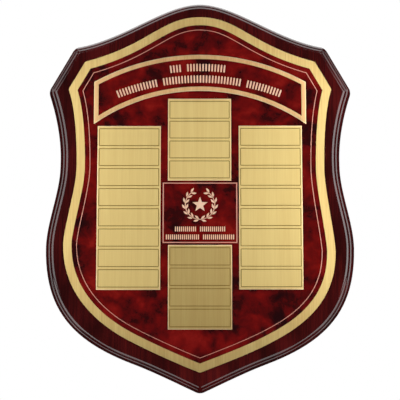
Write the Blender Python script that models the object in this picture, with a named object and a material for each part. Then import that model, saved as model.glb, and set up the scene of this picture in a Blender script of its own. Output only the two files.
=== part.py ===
# Award shield plaque: a moulded shield board with a coated face plate, a title plate,
# a centre plate and four engraved winners' plates laid on it.
# Metres, +Z up. The plaque hangs upright with its front towards -Y and its back on y = 0.
# The origin is the point of the back face just above the keyhole slot, where it hangs.
from math import asin, atan2, cos, hypot, pi, radians, sin, tau

import bmesh
import bpy
from mathutils import Matrix, Vector

# Driving dimensions
HANG_ABOVE_MIDDLE = 0.150  # origin over the middle of the shield's height
BOARD_THICK = 0.018
PLATE_THICK = 0.0008
GAP = 0.0003  # clearance that keeps two touching pieces apart
CURVE_STEPS = 11  # points along one stretch of a shield outline

# Half outlines of the two shields, from the crown to the tip, measured from the middle of the
# board. A fall is an angle below level, a tuck an angle in from plumb, a reach the length of
# a curve handle: before the point, then after it.
BOARD_OUTLINE = {
    "crown": 0.2304, "crown_reach": 0.0434,
    "shoulder": (0.1492, 0.1770), "shoulder_fall": 8.6, "shoulder_reach": 0.0576,
    "corner": (0.1800, 0.1232), "corner_tuck": 19.2, "corner_reach": 0.0527,
    "waist": (0.1648, 0.0347), "waist_reach": (0.0068, 0.0321),
    "hip": (0.1804, -0.0637), "hip_reach": (0.0312, 0.0707),
    "foot": (0.0780, -0.1971), "foot_fall": 20.6, "foot_reach": 0.0750,
    "tip": -0.2317, "tip_fall": 24.6,
    "waist_sway": (0.0, 0.0), "hip_sway": (0.0, 0.0),
}
FACE_OUTLINE = {
    "crown": 0.2120, "crown_reach": 0.0461,
    "shoulder": (0.1361, 0.1577), "shoulder_fall": 14.9, "shoulder_reach": 0.0790,
    "corner": (0.1552, 0.1247), "corner_tuck": 17.0, "corner_reach": 0.0100,
    "waist": (0.1451, 0.0310), "waist_reach": (0.0600, 0.0250),
    "hip": (0.1582, -0.0637), "hip_reach": (0.0180, 0.0600),
    "foot": (0.0780, -0.1733), "foot_fall": 26.5, "foot_reach": 0.0420,
    "tip": -0.2068, "tip_fall": 21.2,
    # The plate is cut a little out of true: its right side is off by this much across and up,
    # and its left side by the same amount the other way up.
    "waist_sway": (0.0005, -0.0010), "hip_sway": (-0.0008, -0.0045),
}

# Moulded edge of the board
CORNER_SETBACK = 0.0036  # how far the outer corners are eased along each side
MOULD_DEPTH = 0.0080  # from the front face back to the plain side wall
BEAD = 0.0032  # width of the outer quarter round
COVE = 0.0031  # width of the hollow inside it
FILLET_RISE = 0.0014  # small step between the hollow and the front face
FILLET_WIDTH = 0.0009
MOULD_STEPS = 4  # facets in the quarter round, and in the hollow

# Keyhole slot in the back
SLOT_BELOW_ORIGIN = 0.012  # from the origin down to the upper end of the slot
SLOT_RUN = 0.014  # travel from the entry hole up to the hanging end
ENTRY_WIDTH = 0.0108
NECK_WIDTH = 0.0050
HEAD_WIDTH = 0.0096
NECK_DEPTH = 0.0035
POCKET_DEPTH = 0.0100

# Winners' plates: a grid of engraved boxes on each
BOX_PITCH = 0.02365
BOX_GAP = 0.0028  # plain metal between two boxes, and round the outside
WINNERS_WIDTH = 0.0740
GROOVE_WIDTH = 0.0007
GROOVE_DEPTH = 0.00025
WINNERS = {  # middle of the plate across and up, and its number of boxes
    "winners_plate_left": (-0.0831, -0.0160, 8),
    "winners_plate_right": (0.0825, -0.0156, 8),
    "winners_plate_top": (-0.0005, 0.0640, 4),
    "winners_plate_bottom": (0.0000, -0.1088, 4),
}

# Centre plate and its emblem, a laurel wreath round a star
CENTRE_SIZE = (0.0885, 0.0723)
CENTRE_MIDDLE = (0.0, -0.0224)
EMBLEM_MIDDLE = (0.0, -0.0130)
WREATH_RADIUS = 0.0172
WREATH_PAIRS = 7  # pairs of leaves on each branch
WREATH_START = radians(14)  # each branch runs from near the bottom
WREATH_END = radians(152)  # to this angle from it
LEAF = (0.0060, 0.0022)
LEAF_OFFSET = 0.0021  # from the branch's line to the middle of a leaf
LEAF_SPLAY = radians(26)
STAR_RADIUS = 0.0092
STAR_HOLLOW = 0.42  # inner corners of the star, as a share of its radius

# Title plate: a banner between two arcs
TITLE_HALF_WIDTH = 0.1248
TITLE_TOP = 0.1659
TITLE_TOP_RADIUS = 0.2540
TITLE_BOTTOM = 0.1223
TITLE_BOTTOM_RADIUS = 0.2160
TITLE_STEPS = 24

# Rows of engraved strokes: apex height, radius of the arc (0 for a straight row), stroke
# height, and the number of strokes in each group
STROKE_FULL_HEIGHT = 0.0090
STROKE_PITCH = 0.0036  # at the full height, and in proportion on lower rows
STROKE_WIDTH = 0.0019
STROKE_DEPTH = 0.00025
GROUP_SPACE = 1.6  # extra space between two groups, in pitches
TITLE_ROWS = [
    (0.1504, 0.265, 0.0090, (6, 12)),
    (0.1365, 0.265, 0.0090, (14, 27, 12)),
]
CENTRE_ROWS = [
    (-0.0415, 0.0, 0.0058, (11, 13)),
    (-0.0508, 0.0, 0.0058, (17, 16)),
]

LAYER_ONE = BOARD_THICK + GAP  # back of the face plate
LAYER_TWO = LAYER_ONE + PLATE_THICK + GAP  # back of the plates laid on it


def start_clean():
    for thing in list(bpy.data.objects):
        bpy.data.objects.remove(thing, do_unlink=True)


def new_collection(name):
    group = bpy.data.collections.new(name)
    bpy.context.scene.collection.children.link(group)
    return group


def make_material(name, colour, roughness, metallic):
    material = bpy.data.materials.new(name)
    material.use_nodes = True
    shader = material.node_tree.nodes["Principled BSDF"]
    shader.inputs["Base Color"].default_value = (*colour, 1.0)
    shader.inputs["Roughness"].default_value = roughness
    shader.inputs["Metallic"].default_value = metallic
    return material


def add_object(name, mesh, group, material=None):
    thing = bpy.data.objects.new(name, mesh)
    group.objects.link(thing)
    thing.parent = middle
    if material:
        mesh.materials.clear()
        mesh.materials.append(material)
    return thing


def mesh_from(bm, name):
    bmesh.ops.recalc_face_normals(bm, faces=bm.faces)
    mesh = bpy.data.meshes.new(name)
    bm.to_mesh(mesh)
    bm.free()
    return mesh


def down_and_out(fall):
    return Vector((cos(radians(fall)), -sin(radians(fall))))


def down_and_in(fall):
    return Vector((-cos(radians(fall)), -sin(radians(fall))))


def half_outline(shape, side):
    """Curve points down one side, each as (place, handle before, handle after)."""
    waist_sway = Vector(shape["waist_sway"]) * side
    hip_sway = Vector(shape["hip_sway"]) * side
    crown = Vector((0.0, shape["crown"]))
    shoulder = Vector(shape["shoulder"])
    corner = Vector(shape["corner"])
    waist = Vector(shape["waist"]) + waist_sway
    hip = Vector(shape["hip"]) + hip_sway
    foot = Vector(shape["foot"]) + Vector((0.0, hip_sway.y / 4))
    tip = Vector((0.0, shape["tip"]))
    level = Vector((shape["crown_reach"], 0.0))
    chamfer = (corner - shoulder) / 3
    run = (foot - tip).length / 3
    tuck = radians(shape["corner_tuck"])
    inward = Vector((-sin(tuck), -cos(tuck)))
    up = Vector((0.0, 1.0))
    waist_before, waist_after = shape["waist_reach"]
    hip_before, hip_after = shape["hip_reach"]
    foot_way = down_and_in(shape["foot_fall"])
    tip_way = down_and_in(shape["tip_fall"])
    shoulder_way = down_and_out(shape["shoulder_fall"])
    stations = [
        (crown, crown - level, crown + level),
        (shoulder, shoulder - shoulder_way * shape["shoulder_reach"], shoulder + chamfer),
        (corner, corner - chamfer, corner + inward * shape["corner_reach"]),
        (waist, waist + up * waist_before, waist - up * waist_after),
        (hip, hip + up * hip_before, hip - up * hip_after),
        (foot, foot - foot_way * shape["foot_reach"], foot + foot_way * run),
        (tip, tip - tip_way * run, tip - tip_way * run),
    ]
    return [tuple(Vector((p.x * side, p.y)) for p in station) for station in stations]


def shield_stations(shape):
    right = half_outline(shape, 1)
    left = [(p, after, before) for p, before, after in reversed(half_outline(shape, -1))]
    tip, before_tip, _ = right[-1]
    right[-1] = (tip, before_tip, left[0][2])
    return right + left[1:-1]


def curve_prism(name, fill_spline, back, front):
    """Mesh between two depths behind a flat closed curve, welded, standing in the XZ plane."""
    curve = bpy.data.curves.new(name, "CURVE")
    curve.dimensions = "2D"
    curve.fill_mode = "BOTH"
    curve.extrude = (front - back) / 2
    curve.resolution_u = CURVE_STEPS
    fill_spline(curve)
    flat = bpy.data.objects.new(name + "_outline", curve)
    bpy.context.scene.collection.objects.link(flat)
    flat.rotation_euler = (radians(90), 0, 0)
    flat.location = (0, -(back + front) / 2, 0)
    bpy.context.view_layer.update()
    seen = flat.evaluated_get(bpy.context.evaluated_depsgraph_get())
    mesh = bpy.data.meshes.new_from_object(seen)
    mesh.transform(flat.matrix_world)
    bpy.data.objects.remove(flat, do_unlink=True)
    bm = bmesh.new()
    bm.from_mesh(mesh)
    bpy.data.meshes.remove(mesh)
    bmesh.ops.remove_doubles(bm, verts=bm.verts, dist=0.00001)
    bmesh.ops.recalc_face_normals(bm, faces=bm.faces)
    return bm


def bezier_spline(stations):
    def fill(curve):
        spline = curve.splines.new("BEZIER")
        spline.bezier_points.add(len(stations) - 1)
        spline.use_cyclic_u = True
        for point, (place, before, after) in zip(spline.bezier_points, stations):
            point.handle_left_type = point.handle_right_type = "FREE"
            point.co = (*place, 0)
            point.handle_left = (*before, 0)
            point.handle_right = (*after, 0)
    return fill


def poly_spline(points):
    def fill(curve):
        spline = curve.splines.new("POLY")
        spline.points.add(len(points) - 1)
        spline.use_cyclic_u = True
        for point, place in zip(spline.points, points):
            point.co = (*place, 0, 1)
    return fill


def cap_facing(bm, way):
    """The flat end towards +Y or -Y, with its triangles dissolved into one face."""
    caps = [face for face in bm.faces if face.normal.y * way > 0.9]
    return bmesh.ops.dissolve_faces(bm, faces=caps)["region"][0]


def moulding_steps():
    """Each step of the edge as (further in from the rim, further forward)."""
    profile = [(0.0, 0.0)]
    for i in range(1, MOULD_STEPS + 1):
        turn = i / MOULD_STEPS * pi / 2
        profile.append((BEAD * (1 - cos(turn)), BEAD * sin(turn)))
    cove_rise = MOULD_DEPTH - BEAD - FILLET_RISE
    for i in range(1, MOULD_STEPS + 1):
        turn = i / MOULD_STEPS * pi / 2
        profile.append((BEAD + COVE * sin(turn), BEAD + cove_rise * (1 - cos(turn))))
    profile.append((BEAD + COVE + FILLET_WIDTH / 3, MOULD_DEPTH - FILLET_RISE / 3))
    profile.append((BEAD + COVE + FILLET_WIDTH, MOULD_DEPTH))
    return [(b[0] - a[0], b[1] - a[1]) for a, b in zip(profile, profile[1:])]


def make_board():
    stations = shield_stations(BOARD_OUTLINE)
    bm = curve_prism("board", bezier_spline(stations), 0.0, BOARD_THICK - MOULD_DEPTH)
    cap_facing(bm, 1)
    cap_facing(bm, -1)
    sharp = [BOARD_OUTLINE["shoulder"], BOARD_OUTLINE["corner"], (0.0, BOARD_OUTLINE["tip"])]
    corners = []
    for edge in bm.edges:
        a, b = edge.verts
        upright = abs(a.co.y - b.co.y) > 0.001
        at_corner = any(hypot(abs(a.co.x) - x, a.co.z - z) < 0.0005 for x, z in sharp)
        if upright and at_corner:
            corners.append(edge)
    bmesh.ops.bevel(
        bm, geom=corners, offset=CORNER_SETBACK, offset_type="OFFSET",
        segments=4, profile=0.5, affect="EDGES",
    )
    front = [face for face in bm.faces if face.normal.y < -0.9]
    for further_in, forward in moulding_steps():
        bmesh.ops.inset_region(
            bm, faces=front, thickness=further_in, depth=0.0,
            use_even_offset=True, use_boundary=True,
        )
        bmesh.ops.translate(bm, verts=front[0].verts, vec=(0, -forward, 0))
    mesh = mesh_from(bm, "shield_board")
    mesh.shade_smooth()
    mesh.set_sharp_from_angle(angle=radians(35))
    board = add_object("shield_board", mesh, parts, rosewood)
    for cutter in keyhole_cutters():
        cut = board.modifiers.new(cutter.name, "BOOLEAN")
        cut.operation = "DIFFERENCE"
        cut.solver = "EXACT"
        cut.object = cutter


def slot_cutter(name, width, run, back, front):
    """A peg along Y, drawn out upwards into a slot when it has a run."""
    bm = bmesh.new()
    turned = Matrix.Rotation(radians(90), 4, "X")
    bmesh.ops.create_cone(
        bm, cap_ends=True, segments=24, radius1=width / 2, radius2=width / 2,
        depth=front - back, matrix=turned,
    )
    for vert in bm.verts:
        if vert.co.z > 0.00001:
            vert.co.z += run
    cutter = add_object(name, mesh_from(bm, name), cutters)
    low = HANG_ABOVE_MIDDLE - SLOT_BELOW_ORIGIN - HEAD_WIDTH / 2 - SLOT_RUN
    cutter.location = (0, -(back + front) / 2, low)
    cutter.hide_render = True
    cutter.display_type = "WIRE"
    return cutter


def keyhole_cutters():
    over = 0.001  # how far a cutter runs past the face that it opens
    return [
        slot_cutter("keyhole_entry", ENTRY_WIDTH, 0.0, -over, POCKET_DEPTH + over / 5),
        slot_cutter("keyhole_neck", NECK_WIDTH, SLOT_RUN, -over, NECK_DEPTH + over),
        slot_cutter("keyhole_head", HEAD_WIDTH, SLOT_RUN, NECK_DEPTH, POCKET_DEPTH),
    ]


def make_face_plate():
    stations = shield_stations(FACE_OUTLINE)
    bm = curve_prism("face", bezier_spline(stations), LAYER_ONE, LAYER_ONE + PLATE_THICK)
    cap_facing(bm, 1)
    cap_facing(bm, -1)
    add_object("shield_face_plate", mesh_from(bm, "shield_face_plate"), parts, marbled_red)


def arc_points(top, radius, half_width, steps):
    """Points from left to right along an arc whose apex is on the middle line."""
    sweep = asin(half_width / radius)
    angles = [sweep * (2 * i / steps - 1) for i in range(steps + 1)]
    return [(radius * sin(a), top - radius * (1 - cos(a))) for a in angles]


def row_places(row, pitch):
    """Where each stroke of a row goes, as (x, z, lean), with a space between the groups."""
    apex, radius, _, groups = row
    length = sum(groups) - 1 + GROUP_SPACE * (len(groups) - 1)
    places = []
    at = -length / 2
    for count in groups:
        for _ in range(count):
            along = at * pitch
            if radius:
                turn = along / radius
                places.append((radius * sin(turn), apex - radius * (1 - cos(turn)), turn))
            else:
                places.append((along, apex, 0.0))
            at += 1
        at += GROUP_SPACE
    return places


def stroke_matrix(x, z, turn):
    """Stands a shape at a place in the XZ plane and turns it clockwise as seen from the front."""
    return Matrix.Translation((x, 0, z)) @ Matrix.Rotation(turn, 4, "Y")


def add_bar(bm, place, width, height, depth):
    size = Matrix.Diagonal((width, depth, height, 1))
    bmesh.ops.create_cube(bm, size=1, matrix=stroke_matrix(*place) @ size)


def add_leaf(bm, place, length, width, depth):
    """An eight-sided peg flattened to a pointed leaf whose long axis is X."""
    turned = Matrix.Rotation(radians(90), 4, "X")
    size = Matrix.Diagonal((length, 1, width, 1))
    bmesh.ops.create_cone(
        bm, cap_ends=True, segments=8, radius1=0.5, radius2=0.5, depth=depth,
        matrix=stroke_matrix(*place) @ size @ turned,
    )


def add_star(bm, place, radius, depth):
    """A ten-sided peg with every other corner drawn in."""
    turned = Matrix.Rotation(radians(90), 4, "X")
    made = bmesh.ops.create_cone(
        bm, cap_ends=True, segments=10, radius1=radius, radius2=radius, depth=depth, matrix=turned,
    )
    for vert in made["verts"]:
        corner = round(atan2(vert.co.x, vert.co.z) / (tau / 10))
        if corner % 2:
            vert.co.x *= STAR_HOLLOW
            vert.co.z *= STAR_HOLLOW
    bmesh.ops.transform(bm, matrix=stroke_matrix(*place), verts=made["verts"])


def engrave(plate, bm, name):
    """Cuts the shapes in bm, which straddle the plate's front face, into the plate."""
    cutter = add_object(name, mesh_from(bm, name), cutters)
    cutter.location = (0, -LAYER_TWO - PLATE_THICK, 0)
    cutter.hide_render = True
    cutter.display_type = "WIRE"
    cut = plate.modifiers.new(name, "BOOLEAN")
    cut.operation = "DIFFERENCE"
    cut.solver = "EXACT"
    cut.object = cutter


def add_rows(bm, rows):
    for row in rows:
        size = row[2] / STROKE_FULL_HEIGHT
        for place in row_places(row, STROKE_PITCH * size):
            add_bar(bm, place, STROKE_WIDTH * size, row[2], 2 * STROKE_DEPTH)


def make_title_plate():
    top = arc_points(TITLE_TOP, TITLE_TOP_RADIUS, TITLE_HALF_WIDTH, TITLE_STEPS)
    bottom = arc_points(TITLE_BOTTOM, TITLE_BOTTOM_RADIUS, TITLE_HALF_WIDTH, TITLE_STEPS)
    outline = poly_spline(top + bottom[::-1])
    bm = curve_prism("title", outline, LAYER_TWO, LAYER_TWO + PLATE_THICK)
    cap_facing(bm, 1)
    cap_facing(bm, -1)
    plate = add_object("title_plate", mesh_from(bm, "title_plate"), parts, marbled_red)
    strokes = bmesh.new()
    add_rows(strokes, TITLE_ROWS)
    engrave(plate, strokes, "title_strokes")


def add_wreath(bm):
    """Two branches of paired leaves that open upwards, each leaf leaning off its branch."""
    for side in (-1, 1):
        for i in range(WREATH_PAIRS):
            along = WREATH_START + (WREATH_END - WREATH_START) * i / (WREATH_PAIRS - 1)
            for edge in (-1, 1):
                reach = WREATH_RADIUS + edge * LEAF_OFFSET
                x = side * reach * sin(along)
                z = -reach * cos(along)
                lean = -side * (along - edge * LEAF_SPLAY)
                place = (EMBLEM_MIDDLE[0] + x, EMBLEM_MIDDLE[1] + z, lean)
                add_leaf(bm, place, LEAF[0], LEAF[1], 2 * STROKE_DEPTH)


def make_centre_plate():
    bm = bmesh.new()
    width, height = CENTRE_SIZE
    x, z = CENTRE_MIDDLE
    size = Matrix.Diagonal((width, PLATE_THICK, height, 1))
    place = Matrix.Translation((x, -LAYER_TWO - PLATE_THICK / 2, z))
    bmesh.ops.create_cube(bm, size=1, matrix=place @ size)
    plate = add_object("centre_plate", mesh_from(bm, "centre_plate"), parts, marbled_red)
    shapes = bmesh.new()
    add_wreath(shapes)
    add_star(shapes, (*EMBLEM_MIDDLE, 0.0), STAR_RADIUS, 2 * STROKE_DEPTH)
    add_rows(shapes, CENTRE_ROWS)
    engrave(plate, shapes, "centre_strokes")


def make_winners_plate(name, x, z, boxes):
    """A grid of cells, each with an engraved line round it, on a thin plate."""
    bm = bmesh.new()
    cell_width = WINNERS_WIDTH - BOX_GAP
    half = Vector((cell_width / 2, 0, boxes * BOX_PITCH / 2))
    size = Matrix.Diagonal((half.x, half.z, 1, 1))
    upright = Matrix.Rotation(radians(90), 4, "X")
    bmesh.ops.create_grid(
        bm, x_segments=1, y_segments=boxes, size=1, matrix=upright @ size,
    )
    cells = list(bm.faces)
    bmesh.ops.inset_individual(bm, faces=cells, thickness=BOX_GAP / 2, use_even_offset=True)
    rings = bmesh.ops.inset_individual(
        bm, faces=cells, thickness=GROOVE_WIDTH, use_even_offset=True,
    )["faces"]
    grooves = bmesh.ops.extrude_face_region(bm, geom=rings)
    floors = [v for v in grooves["geom"] if isinstance(v, bmesh.types.BMVert)]
    bmesh.ops.translate(bm, verts=floors, vec=(0, GROOVE_DEPTH, 0))
    bmesh.ops.delete(bm, geom=rings, context="FACES_ONLY")
    rim = [edge for edge in bm.edges if edge.is_boundary]
    border = bmesh.ops.extrude_edge_only(bm, edges=rim)["geom"]
    for vert in [v for v in border if isinstance(v, bmesh.types.BMVert)]:
        if abs(abs(vert.co.x) - half.x) < 0.00001:
            vert.co.x += BOX_GAP / 2 * (1 if vert.co.x > 0 else -1)
        if abs(abs(vert.co.z) - half.z) < 0.00001:
            vert.co.z += BOX_GAP / 2 * (1 if vert.co.z > 0 else -1)
    rim = [edge for edge in bm.edges if edge.is_boundary]
    wall = bmesh.ops.extrude_edge_only(bm, edges=rim)["geom"]
    back = [v for v in wall if isinstance(v, bmesh.types.BMVert)]
    bmesh.ops.translate(bm, verts=back, vec=(0, PLATE_THICK, 0))
    rim = [edge for edge in bm.edges if edge.is_boundary]
    bmesh.ops.edgeloop_fill(bm, edges=rim)
    plate = add_object(name, mesh_from(bm, name), parts, brushed_brass)
    plate.location = (x, -LAYER_TWO - PLATE_THICK, z)
    return plate


start_clean()
parts = new_collection("award_shield_plaque")
cutters = new_collection("cutters")
middle = bpy.data.objects.new("middle", None)
middle.location = (0, 0, -HANG_ABOVE_MIDDLE)
parts.objects.link(middle)

rosewood = make_material("lacquered_rosewood", (0.047, 0.008, 0.008), 0.12, 0.0)
marbled_red = make_material("marbled_red_coating", (0.19, 0.008, 0.010), 0.25, 0.0)
brushed_brass = make_material("brushed_brass", (0.66, 0.50, 0.22), 0.32, 1.0)

make_board()
make_face_plate()
make_title_plate()
make_centre_plate()
for plate_name, (across, height_up, box_count) in WINNERS.items():
    make_winners_plate(plate_name, across, height_up, box_count)
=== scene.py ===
from math import asin, cos, pi, radians, sin, tan

import bpy
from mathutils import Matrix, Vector


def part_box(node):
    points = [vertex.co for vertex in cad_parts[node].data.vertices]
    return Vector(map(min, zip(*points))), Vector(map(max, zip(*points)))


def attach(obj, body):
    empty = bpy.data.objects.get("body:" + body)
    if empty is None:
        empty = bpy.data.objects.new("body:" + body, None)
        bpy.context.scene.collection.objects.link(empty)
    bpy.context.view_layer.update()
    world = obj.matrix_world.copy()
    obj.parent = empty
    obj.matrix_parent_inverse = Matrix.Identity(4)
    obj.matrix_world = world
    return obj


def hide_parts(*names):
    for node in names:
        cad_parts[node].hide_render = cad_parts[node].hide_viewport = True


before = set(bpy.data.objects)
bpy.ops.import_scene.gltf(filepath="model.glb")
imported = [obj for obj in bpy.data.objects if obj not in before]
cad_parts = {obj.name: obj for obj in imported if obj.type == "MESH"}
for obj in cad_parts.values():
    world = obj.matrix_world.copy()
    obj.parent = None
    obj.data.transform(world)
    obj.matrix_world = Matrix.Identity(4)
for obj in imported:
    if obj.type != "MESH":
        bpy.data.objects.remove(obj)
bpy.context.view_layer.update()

# Award shield plaque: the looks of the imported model. Metres; the front faces -Y and +Z is up.
hangAboveMiddle = 0.150  # the hanging point, the origin, over the middle of the shield
middle = Vector((0, 0, -hangAboveMiddle))
print("frame: the CAD model is loaded")


# Small helpers for nodes and materials

def colourOf(code):
    # an sRGB hex value as the linear colour that the nodes want
    levels = [int(code[i:i + 2], 16) / 255 for i in (1, 3, 5)]
    linear = [v / 12.92 if v <= 0.04045 else ((v + 0.055) / 1.055) ** 2.4 for v in levels]
    return (*linear, 1.0)


def perMetre(millimetres):
    # texture scale whose features are about this large
    return 1000 / millimetres


def addNode(tree, kind, inputs=None, ramp=None, **settings):
    node = tree.nodes.new(kind)
    for name, value in settings.items():
        setattr(node, name, value)
    for socket, value in (inputs or {}).items():
        if isinstance(value, bpy.types.NodeSocket):
            tree.links.new(value, node.inputs[socket])
        else:
            node.inputs[socket].default_value = value
    if ramp:
        stops = node.color_ramp.elements
        stops[0].position, stops[-1].position = ramp[0][0], ramp[-1][0]
        for position, _ in ramp[1:-1]:
            stops.new(position)
        for stop, (_, code) in zip(stops, ramp):
            stop.color = colourOf(code)
    return node


def startMaterial(name, **values):
    # a Principled shader with its even values set on its own sockets
    material = bpy.data.materials.new(name)
    material.use_nodes = True
    shader = material.node_tree.nodes["Principled BSDF"]
    for socket, value in values.items():
        shader.inputs[socket.replace("_", " ")].default_value = value
    return material, material.node_tree, shader


def patternSpace(tree, size, shift=(0, 0, 0), turn=0.0):
    # Object coordinates scaled so that one unit is size millimetres along X, Y and Z
    place = addNode(tree, "ShaderNodeTexCoord")
    return addNode(tree, "ShaderNodeMapping", {
        "Vector": place.outputs["Object"],
        "Location": shift,
        "Rotation": (0, turn, 0),
        "Scale": tuple(perMetre(s) for s in size),
    }).outputs[0]


# Materials, each named for what it is

rosewoodLook = {
    "grain": (2.3, 2.3, 80),  # mm across, through and along one streak of the veneer
    "cloud": (26, 26, 60),  # mm, one darker or lighter area
    "streaks": [(0.30, "#320608"), (0.47, "#420a0b"), (0.60, "#4c0e0d"), (0.78, "#581611")],
    "shade": [(0.30, "#9a9a9a"), (0.70, "#ffffff")],
}


def lacqueredRosewood():
    # Rosewood veneer under thick polished polyester lacquer, the piano finish: the eye sees
    # almost black maroon wood with a faint upright figure, and mirror glints on every edge.
    look = rosewoodLook
    material, tree, shader = startMaterial(
        "polyesterLacqueredRosewood", Roughness=0.6, IOR=1.45, Specular_IOR_Level=0.0,
        Coat_Weight=1.0, Coat_Roughness=0.08, Coat_IOR=1.52,
    )
    grain = addNode(tree, "ShaderNodeTexNoise", {
        "Vector": patternSpace(tree, look["grain"]), "Scale": 1.0, "Detail": 5.0,
        "Roughness": 0.6, "Distortion": 0.3,
    })
    streaks = addNode(tree, "ShaderNodeValToRGB", {"Fac": grain.outputs[0]}, look["streaks"])
    cloud = addNode(tree, "ShaderNodeTexNoise", {
        "Vector": patternSpace(tree, look["cloud"]), "Scale": 1.0, "Detail": 3.0,
    })
    shade = addNode(tree, "ShaderNodeValToRGB", {"Fac": cloud.outputs[0]}, look["shade"])
    wood = addNode(tree, "ShaderNodeMix", {
        0: 1.0, 6: streaks.outputs[0], 7: shade.outputs[0],
    }, data_type="RGBA", blend_type="MULTIPLY")
    tree.links.new(wood.outputs[2], shader.inputs["Base Color"])
    return material


backLook = {
    "speckle": (1.6, 1.6, 1.6),  # mm, the fine orange peel of sprayed lacquer
    "tones": [(0.35, "#2a0d0c"), (0.65, "#3b1513")],
    "fibre": (0.5, 1.2, 0.5),  # mm, in the bare board
    "bareTones": [(0.35, "#6e4c33"), (0.70, "#97704d")],
    "relief": 0.0002,  # metres, of either
}


def satinBack():
    # The same board's back, sprayed once and left satin: dark and even, with a dull sheen.
    look = backLook
    material, tree, shader = startMaterial("satinSprayedFibreboard", Roughness=0.5, IOR=1.48)
    speckle = addNode(tree, "ShaderNodeTexNoise", {
        "Vector": patternSpace(tree, look["speckle"]), "Scale": 1.0, "Detail": 4.0,
    })
    tone = addNode(tree, "ShaderNodeValToRGB", {"Fac": speckle.outputs[0]}, look["tones"])
    tree.links.new(tone.outputs[0], shader.inputs["Base Color"])
    orangePeel = addNode(tree, "ShaderNodeBump", {
        "Height": speckle.outputs[0], "Strength": 0.15, "Distance": look["relief"],
    })
    tree.links.new(orangePeel.outputs[0], shader.inputs["Normal"])
    return material


def routedFibreboard():
    # Fibreboard bared by the router in the keyhole: pale brown, matt and a little woolly.
    look = backLook
    material, tree, shader = startMaterial("routedFibreboard", Roughness=0.9, IOR=1.45)
    fibre = addNode(tree, "ShaderNodeTexNoise", {
        "Vector": patternSpace(tree, look["fibre"]), "Scale": 1.0, "Detail": 5.0,
    })
    tone = addNode(tree, "ShaderNodeValToRGB", {"Fac": fibre.outputs[0]}, look["bareTones"])
    tree.links.new(tone.outputs[0], shader.inputs["Base Color"])
    fuzz = addNode(tree, "ShaderNodeBump", {
        "Height": fibre.outputs[0], "Strength": 0.5, "Distance": look["relief"],
    })
    tree.links.new(fuzz.outputs[0], shader.inputs["Normal"])
    return material


marbleLook = {
    "patch": 22,  # mm, one cloud of the marbling
    "swirl": 34,  # mm, the slow waves that pull the clouds out of shape
    "pull": 0.9,  # how far they pull, in clouds
    "haze": 75, "hazeShare": 0.5,  # mm, broader dark areas, and how much they count
    "reds": [
        (0.55, "#1d0305"), (0.64, "#340405"), (0.73, "#4f0607"),
        (0.83, "#630908"), (0.96, "#77130f"),
    ],
}


def marbledLacquer(name, shift, turn):
    # Clear red lacquer marbled with black over polished brass sheet: deep red with smoky
    # purple-black clouds, glossy but for the soft roll of the coating.
    look = marbleLook
    material, tree, shader = startMaterial(
        name, Roughness=0.5, IOR=1.5, Specular_IOR_Level=0.0,
        Coat_Weight=1.0, Coat_Roughness=0.10,
    )
    space = patternSpace(tree, (1000, 1000, 1000), shift, turn)  # plain metres
    swirl = addNode(tree, "ShaderNodeTexNoise", {
        "Vector": space, "Scale": perMetre(look["swirl"]), "Detail": 2.0,
    })
    pull = addNode(tree, "ShaderNodeVectorMath", {
        0: swirl.outputs[1], 1: (0.5, 0.5, 0.5),
    }, operation="SUBTRACT")
    pulled = addNode(tree, "ShaderNodeVectorMath", {
        0: pull.outputs[0], 1: (look["pull"] * look["patch"] / 1000,) * 3, 2: space,
    }, operation="MULTIPLY_ADD")
    clouds = addNode(tree, "ShaderNodeTexNoise", {
        "Vector": pulled.outputs[0], "Scale": perMetre(look["patch"]), "Detail": 6.0,
        "Roughness": 0.58,
    })
    haze = addNode(tree, "ShaderNodeTexNoise", {
        "Vector": space, "Scale": perMetre(look["haze"]), "Detail": 1.0,
    })
    both = addNode(tree, "ShaderNodeMath", {
        0: haze.outputs[0], 1: look["hazeShare"], 2: clouds.outputs[0],
    }, operation="MULTIPLY_ADD")
    reds = addNode(tree, "ShaderNodeValToRGB", {"Fac": both.outputs[0]}, look["reds"])
    tree.links.new(reds.outputs[0], shader.inputs["Base Color"])
    return material


brassLook = {
    "stroke": (0.9, 0.9, 45),  # mm, one brush mark; real ones are finer than the render shows
    "drift": (9, 9, 120), "driftShare": 0.4,  # mm, the slower change across the sheet
    "darkAt": 0.35, "lightAt": 0.65,  # the part of the pattern that the two tones span
    "polish": 0.02,  # how far the roughness goes up and down from mark to mark
    "relief": 0.0001,  # metres
}


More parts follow.
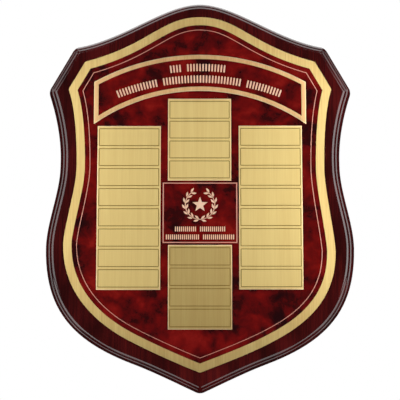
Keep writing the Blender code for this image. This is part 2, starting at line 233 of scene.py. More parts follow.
def brassSheet(name, dark, light, roughness, anisotropy, brushing):
    # Brass: a warm yellow metal. Brushed upright, it spreads each light sideways into a soft
    # sheen with fine streaks. Each use has its own two tones: the paler rolled edges are a painted
    # highlight, and the darker scribed lines and bottom plate are painted shade.
    look = brassLook
    material, tree, shader = startMaterial(
        name, Metallic=1.0, Anisotropic=anisotropy,
    )
    strokes = addNode(tree, "ShaderNodeTexNoise", {
        "Vector": patternSpace(tree, look["stroke"]), "Scale": 1.0, "Detail": 4.0,
        "Roughness": 0.55,
    })
    drift = addNode(tree, "ShaderNodeTexNoise", {
        "Vector": patternSpace(tree, look["drift"]), "Scale": 1.0, "Detail": 2.0,
    })
    both = addNode(tree, "ShaderNodeMix", {
        0: look["driftShare"], 2: strokes.outputs[0], 3: drift.outputs[0],
    })
    tone = addNode(tree, "ShaderNodeValToRGB", {"Fac": both.outputs[0]}, [
        (look["darkAt"], dark), (look["lightAt"], light),
    ])
    polish = addNode(tree, "ShaderNodeMapRange", {
        0: strokes.outputs[0], 1: 0.3, 2: 0.7,
        3: roughness + look["polish"], 4: roughness - look["polish"],
    })
    relief = addNode(tree, "ShaderNodeBump", {
        "Height": strokes.outputs[0], "Strength": brushing, "Distance": look["relief"],
    })
    across = addNode(tree, "ShaderNodeCombineXYZ", {"X": 1.0})
    tree.links.new(tone.outputs[0], shader.inputs["Base Color"])
    tree.links.new(polish.outputs[0], shader.inputs["Roughness"])
    tree.links.new(relief.outputs[0], shader.inputs["Normal"])
    tree.links.new(across.outputs[0], shader.inputs["Tangent"])
    return material


rosewood = lacqueredRosewood()
backFinish = satinBack()
routed = routedFibreboard()
faceMarble = marbledLacquer("marbledLacquerOnBrass", (0.0, 0.0, 0.0), 0.0)
titleMarble = marbledLacquer("marbledLacquerTitleSheet", (0.31, 0.1, 0.22), 1.1)
centreMarble = marbledLacquer("marbledLacquerCentreSheet", (0.12, 0.74, 0.36), 2.3)
bandBrass = brassSheet("brushedBrassBand", "#dcb872", "#f0d68e", 0.36, 0.6, 0.25)
plateBrass = brassSheet("brushedEngravingBrass", "#dabe7a", "#e1c883", 0.40, 0.6, 0.06)
# a darker copy of the plate brass for the bottom plate: painted shade on the lowest plate
bottomPlateBrassPaintedShade = brassSheet("brushedEngravingBrassWithPaintedShade", "#ba9f62", "#c2a96b", 0.40, 0.6, 0.06)
titleBrass = brassSheet("brushedBannerBrass", "#dfb077", "#f0ca92", 0.36, 0.6, 0.25)
rosyBrass = brassSheet("lacquerTintedBrassLine", "#d89682", "#e4a996", 0.36, 0.6, 0.2)
# the rolled edges are painted paler than the sheets: a painted highlight all round each plate
bevelBrassPaintedHighlight = brassSheet("rolledBrassEdgePaintedHighlight", "#eac896", "#f3d6aa", 0.40, 0.5, 0.05)
# the scribed lines are painted dark brass: painted shade in the grooves
grooveBrassPaintedShade = brassSheet("scribedBrassLinePaintedShade", "#866c2e", "#977b3a", 0.45, 0.3, 0.3)
letterBrass = brassSheet("laserBaredBrass", "#dab598", "#e4c6ac", 0.42, 0.7, 0.3)
print("materials: made")


# Helpers for modelling: each works on the active object, as by hand

tracing = {
    "corner": radians(10),  # an outline that turns more than this has a corner there
    "straight": radians(0.01),  # and one that turns less runs straight
    "touching": 0.0001,  # metres; places closer than this count as one
}


def deselectAll():
    bpy.ops.object.select_all(action="DESELECT")


def makeActive(piece):
    deselectAll()
    piece.select_set(True)
    bpy.context.view_layer.objects.active = piece


def editMode(on=True):
    bpy.ops.object.mode_set(mode="EDIT" if on else "OBJECT")


def pick(piece, kind, test):
    # selects the faces, edges or vertices that pass the test, and stays in edit mode
    editMode()
    bpy.ops.mesh.select_mode(type=kind)
    bpy.ops.mesh.select_all(action="DESELECT")
    editMode(False)
    mesh = piece.data
    things = {"FACE": mesh.polygons, "EDGE": mesh.edges, "VERT": mesh.vertices}[kind]
    for thing in things:
        thing.select = test(thing)
    editMode()


def everything(thing):
    return True


def facesBack(face):
    return face.normal.y > 0.9


def facesFront(face):
    return face.normal.y < -0.9


def extrude(offset):
    bpy.ops.mesh.extrude_region_move(TRANSFORM_OT_translate={"value": offset})


def inset(width, rise=0.0):
    bpy.ops.mesh.inset(thickness=width, depth=rise, use_even_offset=True)


def paint(piece, material):
    # gives the selected faces this material
    names = [slot.name for slot in piece.data.materials]
    if material.name not in names:
        piece.data.materials.append(material)
    piece.active_material_index = piece.data.materials.find(material.name)
    bpy.ops.object.material_slot_assign()


def outlinePiece(name, stations, steps, depth):
    # a Bezier circle pulled to the stations and made a mesh, which is still to be filled
    deselectAll()
    bpy.ops.curve.primitive_bezier_circle_add(
        radius=0.1, location=middle - Vector((0, depth, 0)), rotation=(radians(90), 0, 0),
    )
    piece = bpy.context.object
    cuts = len(stations) // 4 - 1
    if cuts:
        editMode()
        bpy.ops.curve.subdivide(number_cuts=cuts)
        editMode(False)
    piece.data.resolution_u = steps
    for point, (place, before, after) in zip(piece.data.splines[0].bezier_points, stations):
        point.handle_left_type = point.handle_right_type = "FREE"
        point.co = (*place, 0)
        point.handle_left = (*before, 0)
        point.handle_right = (*after, 0)
    bpy.ops.object.convert(target="MESH")
    bpy.ops.object.transform_apply(location=True, rotation=True, scale=True)
    piece = bpy.context.object
    piece.name = piece.data.name = name
    return piece


def turnAt(verts, i):
    # how far the outline turns at a vertex, in radians
    before = verts[i].co - verts[i - 1].co
    after = verts[(i + 1) % len(verts)].co - verts[i].co
    return before.angle(after)


def thinOut(piece, clear):
    # dissolves the points along straight runs, and those close to a sharp corner, where an
    # inset would cross them
    verts = piece.data.vertices
    turns = [turnAt(verts, i) for i in range(len(verts))]
    sharp = [verts[i].co.copy() for i, turn in enumerate(turns) if turn > tracing["corner"]]
    spare = set()
    for i, turn in enumerate(turns):
        near = min((verts[i].co - corner).length for corner in sharp)
        if turn < tracing["straight"] or tracing["touching"] < near < clear:
            spare.add(i)
    pick(piece, "VERT", lambda vert: vert.index in spare)
    bpy.ops.mesh.dissolve_verts()
    editMode(False)
    return sharp


def fillOutline(piece):
    editMode()
    bpy.ops.mesh.select_mode(type="VERT")
    bpy.ops.mesh.select_all(action="SELECT")
    bpy.ops.mesh.edge_face_add()
    editMode(False)
    if piece.data.polygons[0].normal.y > 0:
        editMode()
        bpy.ops.mesh.flip_normals()
        editMode(False)


def cutWith(piece, cutter):
    # a Boolean cut, applied; the cut faces take the cutter's material
    makeActive(piece)
    bpy.ops.object.modifier_add(type="BOOLEAN")
    cut = piece.modifiers[-1]
    cut.operation = "DIFFERENCE"
    cut.solver = "EXACT"
    cut.material_mode = "TRANSFER"
    cut.object = cutter
    bpy.ops.object.modifier_apply(modifier=cut.name)
    bpy.data.objects.remove(cutter, do_unlink=True)


def finishPiece(piece, node, smooth=30):
    # consistent normals, smooth shading on curves, and the piece's place in the frame
    makeActive(piece)
    editMode()
    bpy.ops.mesh.select_all(action="SELECT")
    bpy.ops.mesh.normals_make_consistent(inside=False)
    bpy.ops.mesh.select_all(action="DESELECT")
    editMode(False)
    bpy.ops.object.shade_smooth_by_angle(angle=radians(smooth))
    bpy.ops.object.modifier_add(type="WEIGHTED_NORMAL")
    flatten = piece.modifiers[-1]  # keeps the broad flat faces flat next to their round edges
    flatten.keep_sharp = True
    bpy.ops.object.modifier_apply(modifier=flatten.name)
    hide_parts(node)
    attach(piece, "root")


# Outlines of the two shields, from crown to tip, measured from the middle of the board. A
# fall is an angle below level and a tuck an angle in from plumb; a reach is a handle's length.

boardLook = {
    "outline": {
        "crown": 0.2304, "crownReach": 0.0434,
        "shoulder": (0.1492, 0.1770), "shoulderFall": 8.6, "shoulderReach": 0.0576,
        "corner": (0.1800, 0.1232), "cornerTuck": 19.2, "cornerReach": 0.0527,
        "waist": (0.1648, 0.0347), "waistReach": (0.0068, 0.0321),
        "hip": (0.1804, -0.0637), "hipReach": (0.0312, 0.0707),
        "foot": (0.0780, -0.1971), "footFall": 20.6, "footReach": 0.0750,
        "tip": -0.2317, "tipFall": 24.6,
        "waistSway": (0.0, 0.0), "hipSway": (0.0, 0.0),
    },
    "steps": 24,  # points along one stretch of the outline
    "easedCorner": 0.0048, "easedSteps": 8,
    "cornerClear": 0.00576,  # stretch beside a corner with no point of the outline in it
    "mouldDepth": 0.0110,  # from the front face back to the plain side wall
    "bead": 0.0053, "beadDepth": 0.0080,  # the outer quarter round, an upright ellipse
    "quirk": 0.0003,  # width of the small step up inside it
    "thumb": 0.0078, "thumbTilt": 39,  # radius of the broad round into the face, its steepest
    "mouldSteps": 10,
    "merge": 0.00012,  # points closer than this become one, where a corner's arc runs out
    "smoothBelow": 34,  # degrees between two faces that are shaded as one curve
}

facePlateLook = {
    "outline": {
        "crown": 0.2120, "crownReach": 0.0461,
        "shoulder": (0.1361, 0.1577), "shoulderFall": 14.9, "shoulderReach": 0.0790,
        "corner": (0.1552, 0.1247), "cornerTuck": 17.0, "cornerReach": 0.0100,
        "waist": (0.1451, 0.0310), "waistReach": (0.0600, 0.0250),
        "hip": (0.1582, -0.0637), "hipReach": (0.0180, 0.0600),
        "foot": (0.0780, -0.1733), "footFall": 26.5, "footReach": 0.0420,
        "tip": -0.2068, "tipFall": 21.2,
        "waistSway": (0.0005, -0.0010), "hipSway": (-0.0008, -0.0045),  # slightly out of true
    },
    "steps": 24,
    "cornerClear": 0.0095,  # as on the board, but wider, because the insets go further in
    "edge": 0.00015,  # chamfer of the sheet's edge
    "blunt": 0.0016, "bluntSteps": 3,  # the sheared corners
    "band": 0.0098, "betweenLines": 0.0055, "line": 0.0008,
}


def fallWay(fall, outward):
    # the way that a line goes at this angle below level, outwards or inwards
    return Vector((outward * cos(radians(fall)), -sin(radians(fall))))


def halfOutline(shape, side):
    # stations down one side, each as (place, handle before, handle after)
    waistSway = Vector(shape["waistSway"]) * side
    hipSway = Vector(shape["hipSway"]) * side
    crown = Vector((0, shape["crown"]))
    shoulder = Vector(shape["shoulder"])
    corner = Vector(shape["corner"])
    waist = Vector(shape["waist"]) + waistSway
    hip = Vector(shape["hip"]) + hipSway
    foot = Vector(shape["foot"]) + Vector((0, hipSway.y / 4))
    tip = Vector((0, shape["tip"]))
    level = Vector((shape["crownReach"], 0))
    chamfer = (corner - shoulder) / 3
    run = (foot - tip).length / 3
    tuck = radians(shape["cornerTuck"])
    inward = Vector((-sin(tuck), -cos(tuck)))
    up = Vector((0, 1))
    waistBefore, waistAfter = shape["waistReach"]
    hipBefore, hipAfter = shape["hipReach"]
    shoulderWay = fallWay(shape["shoulderFall"], 1)
    footWay = fallWay(shape["footFall"], -1)
    tipWay = fallWay(shape["tipFall"], -1)
    stations = [
        (crown, crown - level, crown + level),
        (shoulder, shoulder - shoulderWay * shape["shoulderReach"], shoulder + chamfer),
        (corner, corner - chamfer, corner + inward * shape["cornerReach"]),
        (waist, waist + up * waistBefore, waist - up * waistAfter),
        (hip, hip + up * hipBefore, hip - up * hipAfter),
        (foot, foot - footWay * shape["footReach"], foot + footWay * run),
        (tip, tip - tipWay * run, tip - tipWay * run),
    ]
    return [tuple(Vector((p.x * side, p.y)) for p in station) for station in stations]


def shieldStations(shape):
    right = halfOutline(shape, 1)
    left = [(p, after, before) for p, before, after in reversed(halfOutline(shape, -1))]
    tip, beforeTip, _ = right[-1]
    right[-1] = (tip, beforeTip, left[0][2])
    return right + left[1:-1]


# The board

def mouldingSteps(look):
    # each step of the moulded edge as (further in, further forward)
    bead, deep, thumb, steps = (look[k] for k in ("bead", "beadDepth", "thumb", "mouldSteps"))
    steepest = radians(look["thumbTilt"])
    width = bead + look["quirk"] + thumb * sin(steepest)
    shares = [i / steps for i in range(steps + 1)]
    profile = [(bead * (1 - cos(s * pi / 2)), deep * sin(s * pi / 2)) for s in shares]
    for share in shares:
        tilt = steepest * (1 - share)
        profile.append((width - thumb * sin(tilt), look["mouldDepth"] - thumb * (1 - cos(tilt))))
    return [(b[0] - a[0], b[1] - a[1]) for a, b in zip(profile, profile[1:])]


keyholeLook = {
    "belowOrigin": 0.012,  # down to the slot's upper end
    "run": 0.014,  # from the entry up to the hanging end
    "entryWidth": 0.0108, "neckWidth": 0.0050, "headWidth": 0.0096,
    "neckDepth": 0.0035, "pocketDepth": 0.0100,
    "over": 0.001,  # how far a cutter runs past the face that it opens
    "entryOver": 0.0002,  # how much deeper the entry is than the pocket
    "easedRim": 0.0004, "rimSteps": 3,
    "sides": 48,
}


def slotCutter(width, run, back, front):
    # a peg through the back, drawn out upwards when it has a run
    look = keyholeLook
    low = -look["belowOrigin"] - look["headWidth"] / 2 - look["run"]
    deselectAll()
    bpy.ops.mesh.primitive_cylinder_add(
        vertices=look["sides"], radius=width / 2, depth=front - back,
        location=(0, -(back + front) / 2, low), rotation=(radians(90), 0, 0),
    )
    cutter = bpy.context.object
    bpy.ops.object.transform_apply(location=True, rotation=True, scale=True)
    cutter.data.materials.append(routed)
    if run:
        pick(cutter, "VERT", lambda vert: vert.co.z > low + tracing["touching"])
        bpy.ops.transform.translate(value=(0, 0, run))
        editMode(False)
    return cutter


def easeKeyholeRim(board, low):
    # a small bevel round the opening in the back, which is the back's only edge in reach
    look = keyholeLook
    mesh = board.data
    skin = -tracing["touching"]
    pick(board, "FACE", lambda face: facesBack(face) and face.center.y > skin)
    bpy.ops.mesh.region_to_loop()
    editMode(False)
    reach = look["entryWidth"]
    rim = set()
    for edge in mesh.edges:
        places = [mesh.vertices[i].co for i in edge.vertices]
        if edge.select and all(abs(p.x) < reach and p.z > low.z / 2 for p in places):
            rim.add(edge.index)
    pick(board, "EDGE", lambda edge: edge.index in rim)
    bpy.ops.mesh.bevel(
        affect="EDGES", offset=look["easedRim"], segments=look["rimSteps"], profile=0.5,
    )
    editMode(False)


def makeBoard():
    look = boardLook
    low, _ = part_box("shield_board")
    board = outlinePiece("lacqueredShieldBoard", shieldStations(look["outline"]), look["steps"], 0)
    corners = thinOut(board, look["cornerClear"])
    fillOutline(board)
    touching = tracing["touching"]
    pick(board, "VERT", lambda vert: min((vert.co - c).length for c in corners) < touching)
    bpy.ops.mesh.bevel(
        affect="VERTICES", offset_type="OFFSET", offset=look["easedCorner"],
        segments=look["easedSteps"], profile=0.5,
    )
    editMode(False)
    for material in (rosewood, backFinish, routed):
        board.data.materials.append(material)
    pick(board, "FACE", everything)
    extrude((0, low.y + look["mouldDepth"], 0))
    for further, forward in mouldingSteps(look):
        inset(further, forward)
        bpy.ops.mesh.remove_doubles(threshold=look["merge"])
    editMode(False)
    pick(board, "FACE", facesBack)
    paint(board, backFinish)
    editMode(False)
    hole = keyholeLook
    over, run, pocket = hole["over"], hole["run"], hole["pocketDepth"]
    cutWith(board, slotCutter(hole["entryWidth"], 0, -over, pocket + hole["entryOver"]))
    cutWith(board, slotCutter(hole["neckWidth"], run, -over, hole["neckDepth"] + over))
    cutWith(board, slotCutter(hole["headWidth"], run, hole["neckDepth"], pocket))
    easeKeyholeRim(board, low)
    finishPiece(board, "shield_board", look["smoothBelow"])
    print("shield board: made")


# The face plate

def bluntCorners(plate, corners):
    # rounds the upright edges of the rim at the outline's sharp corners
    look = facePlateLook
    places = [Vector((c.x, c.z)) for c in corners]
    verts = plate.data.vertices
    upright = set()
    for edge in plate.data.edges:
        a, b = (verts[i].co for i in edge.vertices)
        near = min((Vector((a.x, a.z)) - place).length for place in places)
        if near < 2 * look["edge"] and abs(a.y - b.y) > look["edge"] / 2:
            upright.add(edge.index)
    pick(plate, "EDGE", lambda edge: edge.index in upright)
    bpy.ops.mesh.bevel(
        affect="EDGES", offset=look["blunt"], segments=look["bluntSteps"], profile=0.5,
    )
    editMode(False)


def makeFacePlate():
    look = facePlateLook
    low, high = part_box("shield_face_plate")
    plate = outlinePiece(
        "marbledFacePlate", shieldStations(look["outline"]), look["steps"], -high.y,
    )
    corners = thinOut(plate, look["cornerClear"])
    fillOutline(plate)
    for material in (bandBrass, faceMarble):
        plate.data.materials.append(material)
    pick(plate, "FACE", everything)
    extrude((0, low.y - high.y + look["edge"], 0))
    inset(look["edge"], look["edge"])
    inset(look["band"] - look["edge"])
    paint(plate, faceMarble)
    inset(look["betweenLines"])
    paint(plate, rosyBrass)
    inset(look["line"])
    paint(plate, faceMarble)
    editMode(False)
    bluntCorners(plate, corners)
    finishPiece(plate, "shield_face_plate")
    print("face plate: made")


# Engraved rows of strokes and the emblem, as cutters

engravingLook = {
    "depth": 0.00025,
    "fullHeight": 0.0090,  # a full stroke; lower rows are in proportion
    "pitch": 0.0036, "width": 0.0019,
    "groupSpace": 1.6,  # extra space between two groups, in pitches
    "roundEnds": 0.4, "endSteps": 4,  # the round as a share of the stroke's width
    # rows as (middle, apex height, radius of the arc or 0, stroke height, strokes in each group)
    "titleRows": [
        (-0.0028, 0.1504, 0.265, 0.0090, (4, 13)),
        (-0.0013, 0.1365, 0.265, 0.0090, (14, 26, 12)),
    ],
    "centreRows": [(0, -0.0415, 0, 0.0058, (11, 13)), (0, -0.0508, 0, 0.0058, (17, 16))],
}


def rowPlaces(row, pitch):
    # where each stroke of a row goes, as (x, z, lean)
    middleX, apex, radius, _, groups = row
    space = engravingLook["groupSpace"]
    at = middleX / pitch - (sum(groups) - 1 + space * (len(groups) - 1)) / 2
    places = []
    for count in groups:
        for _ in range(count):
            along = at * pitch
            turn = along / radius if radius else 0
            if radius:
                places.append((radius * sin(turn), apex - radius * (1 - cos(turn)), turn))
            else:
                places.append((along, apex, 0))
            at += 1
        at += space
    return places


def copyTo(pattern, places, front):
    # copies of a cutter, each with its own mesh, set across the plate's front face
    copies = []
    for x, z, lean in places:
        copy = pattern.copy()
        copy.data = pattern.data.copy()
        bpy.context.collection.objects.link(copy)
        copy.location = middle + Vector((x, front, z))
        copy.rotation_euler = (0, lean, 0)
        copies.append(copy)
    return copies


def joinCutters(cutters, material=letterBrass):
    deselectAll()
    for cutter in cutters:
        cutter.select_set(True)
    bpy.context.view_layer.objects.active = cutters[0]
    if len(cutters) > 1:
        bpy.ops.object.join()
    bpy.ops.object.transform_apply(location=True, rotation=True, scale=True)
    cutters[0].data.materials.clear()
    cutters[0].data.materials.append(material)
    return cutters[0]


def strokePattern(size):
    # one upright stroke with round ends: a box with its four upright edges bevelled
    look = engravingLook
    deselectAll()
    bpy.ops.mesh.primitive_cube_add(size=1)
    stroke = bpy.context.object
    stroke.scale = (look["width"] * size, 2 * look["depth"], look["fullHeight"] * size)
    bpy.ops.object.transform_apply(location=True, rotation=True, scale=True)
    mesh = stroke.data
    pick(stroke, "EDGE", lambda edge: abs(
        mesh.vertices[edge.vertices[0]].co.y - mesh.vertices[edge.vertices[1]].co.y
    ) > look["depth"])
    bpy.ops.mesh.bevel(
        affect="EDGES", offset=look["width"] * size * look["roundEnds"],
        segments=look["endSteps"], profile=0.5,
    )
    editMode(False)
    return stroke


def rowCutters(rows, front):
    cutters = []
    for row in rows:
        size = row[3] / engravingLook["fullHeight"]
        pattern = strokePattern(size)
        cutters += copyTo(pattern, rowPlaces(row, engravingLook["pitch"] * size), front)
        bpy.data.objects.remove(pattern, do_unlink=True)
    return cutters


# Plates: a chamfered sheet from a filled outline

plateLook = {
    "bevel": 0.0008, "bevelRise": 0.0002,  # the rolled edge round the front, in and forward
}


def planePlate(name, low, high):
    # a plane where the plate's back is, facing forwards
    deselectAll()
    bpy.ops.mesh.primitive_plane_add(size=1, rotation=(radians(90), 0, 0))
    plate = bpy.context.object
    plate.name = plate.data.name = name
    plate.scale = (high.x - low.x, high.z - low.z, 1)
    plate.location = ((low.x + high.x) / 2, high.y, (low.z + high.z) / 2)
    bpy.ops.object.transform_apply(location=True, rotation=True, scale=True)
    return plate


def raiseSheet(plate, low, high, material, edge):
    # gives a filled face its thickness, with a bevel of the edge's material round the front
    look = plateLook
    for each in (material, edge):
        plate.data.materials.append(each)
    pick(plate, "FACE", everything)
    extrude((0, low.y - high.y + look["bevelRise"], 0))
    editMode(False)
    pick(plate, "FACE", everything)
    paint(plate, edge)
    editMode(False)
    pick(plate, "FACE", facesFront)
    inset(look["bevel"], look["bevelRise"])
    paint(plate, material)


titleLook = {
    "halfWidth": 0.1248,
    "top": 0.1659, "topRadius": 0.2540,
    "bottom": 0.1223, "bottomRadius": 0.2160,
    "steps": 24,
    "border": 0.0052,
}


def titleStations():
    # the banner's four corners; the long sides are arcs and the ends are plumb
    look = titleLook
    half = look["halfWidth"]
    top, topRadius = look["top"], look["topRadius"]
    bottom, bottomRadius = look["bottom"], look["bottomRadius"]

    def arcEnd(side, apex, radius):
        sweep = asin(half / radius)
        place = Vector((side * half, apex - radius * (1 - cos(sweep))))
        handle = 4 / 3 * tan(sweep / 2) * radius
        return place, place + Vector((-side * cos(sweep), sin(sweep))) * handle

    topLeft, topLeftArc = arcEnd(-1, top, topRadius)
    topRight, topRightArc = arcEnd(1, top, topRadius)
    lowRight, lowRightArc = arcEnd(1, bottom, bottomRadius)
    lowLeft, lowLeftArc = arcEnd(-1, bottom, bottomRadius)
    return [
        (topLeft, topLeft + (lowLeft - topLeft) / 3, topLeftArc),
        (topRight, topRightArc, topRight + (lowRight - topRight) / 3),
        (lowRight, lowRight + (topRight - lowRight) / 3, lowRightArc),
        (lowLeft, lowLeftArc, lowLeft + (topLeft - lowLeft) / 3),
    ]


def makeTitlePlate():
    look = titleLook
    low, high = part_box("title_plate")
    plate = outlinePiece("titleBannerPlate", titleStations(), look["steps"], -high.y)
    thinOut(plate, 0)
    fillOutline(plate)
    # the banner's edge takes the paler brass: a painted highlight
    raiseSheet(plate, low, high, titleBrass, bevelBrassPaintedHighlight)
    inset(look["border"] - plateLook["bevel"])
    paint(plate, titleMarble)
    editMode(False)
    cutWith(plate, joinCutters(rowCutters(engravingLook["titleRows"], low.y)))
    finishPiece(plate, "title_plate")
    print("title plate: made")


emblemLook = {
    "middle": (0, -0.0130),  # from the middle of the board
    "wreathRadius": 0.0172,
    "pairs": 7,  # pairs of leaves on each branch
    "start": radians(14), "end": radians(152),  # each branch, from straight down
    "leaf": (0.0064, 0.0023), "leafOffset": 0.0021, "splay": radians(26), "leafSteps": 6,
    "stem": 0.0004, "stemSteps": (64, 8),  # round the ring, and round its section
    "starRadius": 0.0092, "starHollow": 0.42,
}


def leafPattern():
    # a pointed leaf lying along X
    length, width = emblemLook["leaf"]
    tips = [Vector((length / 2, 0)), Vector((-length / 2, 0))]
    sides = [Vector((0, width / 2)), Vector((0, -width / 2))]
    reach = Vector((length / 5, 0))
    lean = Vector((length / 6, 0))
    under, over = Vector((length / 8, -width / 6)), Vector((length / 8, width / 6))
    stations = [
        (tips[1], tips[1] + under, tips[1] + over),
        (sides[0], sides[0] - reach, sides[0] + lean),
        (tips[0], tips[0] - under, tips[0] - over),
        (sides[1], sides[1] + lean, sides[1] - reach),
    ]
    depth = engravingLook["depth"]
    leaf = outlinePiece("leaf", stations, emblemLook["leafSteps"], -depth)
    fillOutline(leaf)
    pick(leaf, "FACE", everything)
    extrude((0, -2 * depth, 0))
    editMode(False)
    pick(leaf, "VERT", everything)
    bpy.ops.mesh.normals_make_consistent(inside=False)
    bpy.ops.transform.translate(value=-middle)
    editMode(False)
    return leaf


def wreathPlaces():
    look = emblemLook
    cx, cz = look["middle"]
    places = []
    for side in (-1, 1):
        for i in range(look["pairs"]):
            along = look["start"] + (look["end"] - look["start"]) * i / (look["pairs"] - 1)
            for edge in (-1, 1):
                reach = look["wreathRadius"] + edge * look["leafOffset"]
                lean = -side * (along - edge * look["splay"])
                places.append((cx + side * reach * sin(along), cz - reach * cos(along), lean))
    return places


def starPattern():
    # a ten-sided disc with every other corner drawn in
    look = emblemLook
    depth = engravingLook["depth"]
    deselectAll()
    bpy.ops.mesh.primitive_circle_add(
        vertices=10, radius=look["starRadius"], fill_type="NGON",
        location=(0, depth, 0), rotation=(radians(90), 0, 0),
    )
    star = bpy.context.object
    bpy.ops.object.transform_apply(location=True, rotation=True, scale=True)
    pick(star, "VERT", lambda vert: vert.index % 2 == 1)
    hollow = look["starHollow"]
    bpy.ops.transform.resize(value=(hollow, 1, hollow), center_override=(0, depth, 0))
    editMode(False)
    pick(star, "FACE", everything)
    extrude((0, -2 * depth, 0))
    bpy.ops.mesh.select_all(action="SELECT")
    bpy.ops.mesh.normals_make_consistent(inside=False)
    editMode(False)
    return star


def stemPattern():
    # a thin ring, open at the top between the two branches
    look = emblemLook
    radius = look["wreathRadius"]
    along, across = look["stemSteps"]
    deselectAll()
    bpy.ops.mesh.primitive_torus_add(
        major_radius=radius, minor_radius=look["stem"],
        major_segments=along, minor_segments=across, rotation=(radians(90), 0, 0),
    )
    stem = bpy.context.object
    bpy.ops.object.transform_apply(location=True, rotation=True, scale=True)
    pick(stem, "VERT", everything)
    bpy.ops.mesh.bisect(
        plane_co=(0, 0, -radius * cos(look["end"])), plane_no=(0, 0, 1),
        clear_outer=True, use_fill=True,
    )
    editMode(False)
    return stem


centreLook = {
    "border": 0.0020,
}


def makeCentrePlate():
    look = centreLook
    low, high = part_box("centre_plate")
    plate = planePlate("centreEmblemPlate", low, high)
    raiseSheet(plate, low, high, rosyBrass, centreMarble)
    inset(look["border"] - plateLook["bevel"])
    paint(plate, centreMarble)
    editMode(False)
    leaf, star, stem = leafPattern(), starPattern(), stemPattern()
    centre = (*emblemLook["middle"], 0)
    cutters = copyTo(leaf, wreathPlaces(), low.y)
    cutters += copyTo(star, [centre], low.y)
    cutters += rowCutters(engravingLook["centreRows"], low.y)
    stems = copyTo(stem, [centre], low.y)
    for pattern in (leaf, star, stem):
        bpy.data.objects.remove(pattern, do_unlink=True)
    cutWith(plate, joinCutters(cutters))
    cutWith(plate, joinCutters(stems))
    finishPiece(plate, "centre_plate")
    print("centre plate: made")


# Winners' plates: a column of boxes, each with a scribed line round it

winnersLook = {
    "boxPitch": 0.02365,
    "boxGap": 0.0028,  # plain metal between two boxes, and past the end ones
    "sideGap": 0.0017,  # from the plate's edge in to the line
    "lineWidth": 0.0008, "lineDepth": 0.00025, "lineFloor": 0.4,  # floor as a share of the width
    "cornerRound": 0.0009, "cornerSteps": 4,
}


def boxLinePattern(width, height):
    # the scribed line round one box, as a cutter: a flat frame whose section narrows inwards
    look = winnersLook
    deselectAll()
    bpy.ops.mesh.primitive_plane_add(size=1, rotation=(radians(90), 0, 0))
    line = bpy.context.object
    line.scale = (width, height, 1)
    line.location = (0, -look["lineDepth"], 0)
    bpy.ops.object.transform_apply(location=True, rotation=True, scale=True)
    pick(line, "VERT", everything)
    bpy.ops.mesh.bevel(
        affect="VERTICES", offset=look["cornerRound"], segments=look["cornerSteps"], profile=0.5,
    )
    bpy.ops.mesh.select_all(action="SELECT")
    inset(look["lineWidth"])
    bpy.ops.mesh.delete(type="FACE")
    bpy.ops.mesh.select_all(action="SELECT")
    bpy.ops.mesh.flip_normals()
    extrude((0, look["lineDepth"], 0))
    inset(look["lineWidth"] * (1 - look["lineFloor"]) / 2, look["lineDepth"])
    bpy.ops.mesh.select_all(action="SELECT")
    bpy.ops.mesh.normals_make_consistent(inside=False)
    editMode(False)
    return line


def makeWinnersPlate(node, name, brass):
    look = winnersLook
    low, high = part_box(node)
    pitch, gap = look["boxPitch"], look["boxGap"]
    boxes = round((high.z - low.z - gap) / pitch)
    plate = planePlate(name, low, high)
    # the plate's edge takes the paler brass: a painted highlight
    raiseSheet(plate, low, high, brass, bevelBrassPaintedHighlight)
    editMode(False)
    line = boxLinePattern(high.x - low.x - 2 * look["sideGap"], pitch - gap)
    across = (low.x + high.x) / 2
    centre = (low.z + high.z) / 2 + hangAboveMiddle
    places = [(across, centre + (i - (boxes - 1) / 2) * pitch, 0) for i in range(boxes)]
    lines = copyTo(line, places, low.y)
    bpy.data.objects.remove(line, do_unlink=True)
    # the scribed lines take the dark brass: painted shade in the grooves
    cutWith(plate, joinCutters(lines, grooveBrassPaintedShade))
    finishPiece(plate, node)
    print("winners' plate:", name, "with", boxes, "boxes")


makeBoard()
makeFacePlate()
makeTitlePlate()
makeCentrePlate()
makeWinnersPlate("winners_plate_left", "winnersPlateLeft", plateBrass)
makeWinnersPlate("winners_plate_right", "winnersPlateRight", plateBrass)
makeWinnersPlate("winners_plate_top", "winnersPlateTop", plateBrass)
# the bottom plate takes the darker copy of the brass: painted shade
makeWinnersPlate("winners_plate_bottom", "winnersPlateBottom", bottomPlateBrassPaintedShade)


# Studio: a camera a little below the plaque, light boxes all round it and a pale floor. The
# lacquer's bright lines are mirrored boxes, one for each stretch of the moulding, and the two
# small boxes over the crown are for the brass there.

studioLook = {
    "distance": 1.290, "below": 7,  # metres from the aim point, degrees under the plaque's normal
    "lens": 98.8,  # mm on a 36 mm sensor
    "aim": (0, -0.010, -0.1563),
    "backdrop": "#ffffff", "fill": 0.045,
    "floorDrop": 1.2, "floorSize": 7,  # below the origin, and along each side
    "floorColour": "#eeeeec", "floorGlow": 0.6,
}

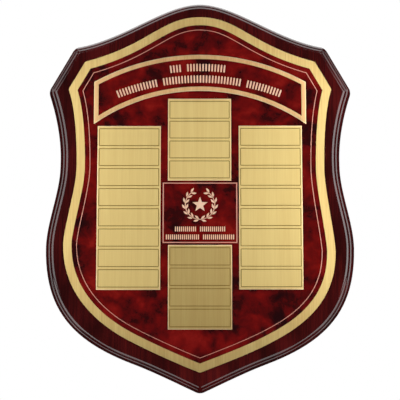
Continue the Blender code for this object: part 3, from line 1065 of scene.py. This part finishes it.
# name: place, width and height in metres, watts, what it aims at
lightLook = {
    "leftSoftbox": ((-0.62, -0.80, 0.01), 0.5, 0.62, 3.45, (0, 0, -0.15)),
    "rightSoftbox": ((0.62, -0.80, 0.01), 0.5, 0.62, 4.85, (0, 0, -0.15)),
    "ceilingPanel": ((0, 0.35, 1.30), 1.6, 2.0, 29, (0, 0.35, 0)),
    "crownLeftGlow": ((-0.40, -0.80, 0.46), 0.2, 0.16, 0.45, (0, 0, 0)),
    "crownRightGlow": ((0.40, -0.80, 0.46), 0.2, 0.16, 0.45, (0, 0, 0)),
    "highLeftGlow": ((-0.88, -0.33, 0.41), 0.4, 0.4, 1.2, (0, 0, -0.15)),
    "highRightGlow": ((0.88, -0.33, 0.41), 0.4, 0.4, 1.2, (0, 0, -0.15)),
    "lowLeftGlow": ((-0.84, -0.68, -0.66), 0.52, 0.68, 4.1, (0, 0, -0.15)),
    "lowRightGlow": ((0.84, -0.68, -0.66), 0.52, 0.68, 3.6, (0, 0, -0.15)),
    "footLeftGlow": ((-0.48, -0.65, -1.09), 0.45, 0.42, 1.6, (0, 0, -0.15)),
    "footRightGlow": ((0.48, -0.65, -1.09), 0.45, 0.42, 1.45, (0, 0, -0.15)),
    "backFill": ((0, 1.60, 0.60), 1.6, 1.2, 44, (0, 0, -0.15)),
}


def makeCamera():
    look = studioLook
    below = radians(look["below"])
    bpy.ops.object.camera_add(
        location=Vector(look["aim"]) - Vector((0, cos(below), sin(below))) * look["distance"],
        rotation=(radians(90) + below, 0, 0),
    )
    camera = bpy.context.object
    camera.data.lens = look["lens"]
    bpy.context.scene.camera = camera


def makeLights():
    for name, (place, width, height, watts, aim) in lightLook.items():
        bpy.ops.object.light_add(type="AREA", location=place)
        light = bpy.context.object
        light.name = name
        light.rotation_euler = (Vector(aim) - Vector(place)).to_track_quat("-Z", "Y").to_euler()
        light.data.shape = "RECTANGLE"
        light.data.size, light.data.size_y = width, height
        light.data.energy = watts
        light.visible_camera = False
        light.visible_glossy = name != "backFill"  # mirrored at a grazing angle it hides an edge


def makeWorld():
    # white behind the object, and a dim even fill for what the light boxes don't reach
    look = studioLook
    world = bpy.data.worlds.new("studio")
    bpy.context.scene.world = world
    world.use_nodes = True
    tree = world.node_tree
    tree.nodes.clear()
    white = colourOf(look["backdrop"])
    seen = addNode(tree, "ShaderNodeBackground", {"Color": white})
    fill = addNode(tree, "ShaderNodeBackground", {"Color": white, "Strength": look["fill"]})
    rays = addNode(tree, "ShaderNodeLightPath")
    both = addNode(tree, "ShaderNodeMixShader", {
        0: rays.outputs["Is Camera Ray"], 1: fill.outputs[0], 2: seen.outputs[0],
    })
    addNode(tree, "ShaderNodeOutputWorld", {"Surface": both.outputs[0]})


def makeFloor():
    deselectAll()
    look = studioLook
    bpy.ops.mesh.primitive_plane_add(
        size=look["floorSize"], location=(0, 0, -look["floorDrop"]),
    )
    floor = bpy.context.object
    floor.name = "studioFloor"
    pale = colourOf(look["floorColour"])
    # A sheet of pale matt paper, lit evenly by a glow of its own, so it has no dark far side.
    material, tree, shader = startMaterial(
        "paleMattPaper", Roughness=0.8, Base_Color=pale, Emission_Color=pale,
        Emission_Strength=look["floorGlow"],
    )
    floor.data.materials.append(material)
    floor.visible_glossy = False  # the lacquer mirrors the light boxes alone
    floor.visible_diffuse = False  # and they alone light it


makeCamera()
makeLights()
makeWorld()
makeFloor()
bpy.context.scene.view_settings.view_transform = "Standard"
print("studio: made")
